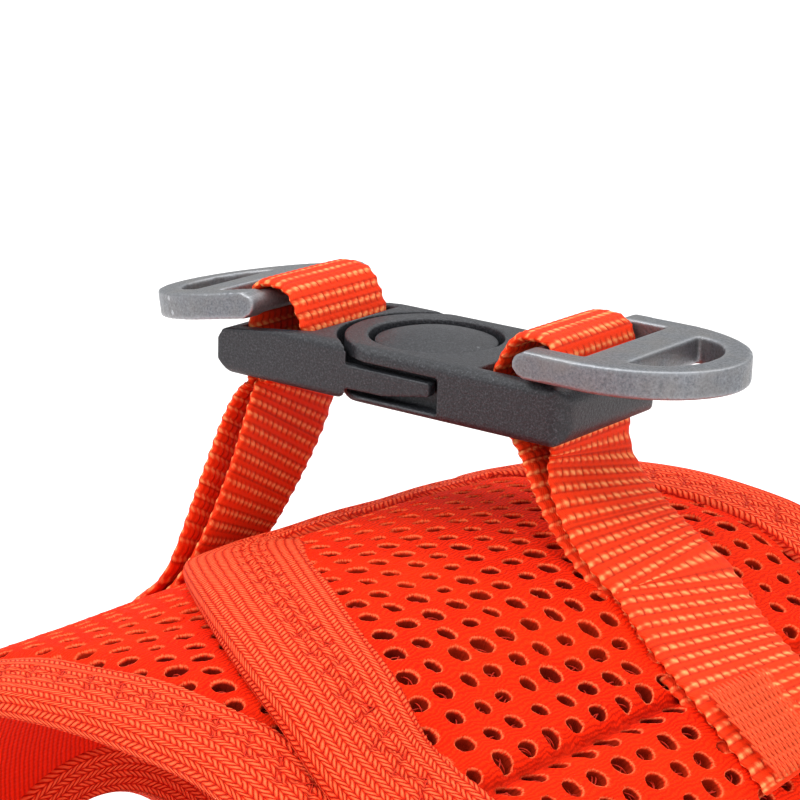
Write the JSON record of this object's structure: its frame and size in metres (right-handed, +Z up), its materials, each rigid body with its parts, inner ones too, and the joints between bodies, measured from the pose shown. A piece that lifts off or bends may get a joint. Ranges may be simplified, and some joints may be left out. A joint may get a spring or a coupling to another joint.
{
  "type": "pet step-in harness",
  "caption": "Step-in vest harness for a small pet: bound air-mesh body, doubled webbing straps, push-button clasp and leash rings.",
  "frame": {"origin": "centre of the footprint, at the plane the chest rests on", "axes": "+X across the back towards the clasp housing's side, +Y along the spine towards the rear hem, +Z up"},
  "size_m": [0.1479, 0.12, 0.1231],
  "materials": {
    "clasp_plastic": "matte, spark-eroded texture",
    "spring_wire": "drawn wire",
    "ring_metal": "matte cast zinc alloy",
    "webbing": "woven webbing",
    "air_mesh": "perforated air mesh",
    "closure_tape": "hook and loop",
    "binding_tape": "ribbed knit tape"
  },
  "bodies": {
    "vest": {"clasp_housing": "clasp_plastic", "clasp_base_plate": "clasp_plastic", "button_spring": "spring_wire", "strap_left_outer_ply": "webbing", "strap_left_inner_ply": "webbing", "strap_left_anchor": "webbing", "strap_right_loop": "webbing", "strap_right_outer_ply": "webbing", "strap_right_inner_ply": "webbing", "strap_right_anchor": "webbing", "left_wing": "air_mesh", "right_wing": "air_mesh", "left_side_panel": "air_mesh", "right_side_panel": "air_mesh", "left_shoulder_panel": "air_mesh", "right_shoulder_panel": "air_mesh", "left_girth_panel": "air_mesh", "right_girth_panel": "air_mesh", "chest_panel": "air_mesh", "closure_loop_strip": "closure_tape", "closure_hook_strip": "closure_tape", "neck_binding_left": "binding_tape", "neck_binding_right": "binding_tape", "wing_edge_binding": "binding_tape", "rear_binding_left": "binding_tape", "rear_binding_right": "binding_tape", "leg_binding_left": "binding_tape", "leg_binding_right": "binding_tape"},
    "plug": {"clasp_plug": "clasp_plastic", "clasp_tongue": "clasp_plastic", "strap_left_loop": "webbing"},
    "button": {"clasp_button": "clasp_plastic"},
    "left_ring": {"leash_ring_left": "ring_metal"},
    "right_ring": {"leash_ring_right": "ring_metal"}
  },
  "joints": [
    {"name": "clasp_release", "type": "slide", "parent": "vest", "child": "plug", "axis": [-1, 0, 0], "range_m": [0, 0.026], "deforming": ["strap_left_outer_ply", "strap_left_inner_ply", "clasp_tongue"]},
    {"name": "button_press", "type": "slide", "parent": "vest", "child": "button", "axis": [0, 0, -1], "range_m": [0, 0.0014], "stiffness_N_per_m": 900, "springref_m": -0.0008, "deforming": ["button_spring", "clasp_tongue"]},
    {"name": "left_ring_hinge", "type": "hinge", "parent": "plug", "child": "left_ring", "pos_m": [-0.041, 0.021, 0.1198], "axis": [0, 1, 0], "range_deg": [0, 115]},
    {"name": "right_ring_hinge", "type": "hinge", "parent": "vest", "child": "right_ring", "pos_m": [0.0078, 0.021, 0.1198], "axis": [0, -1, 0], "range_deg": [0, 110]}
  ]
}
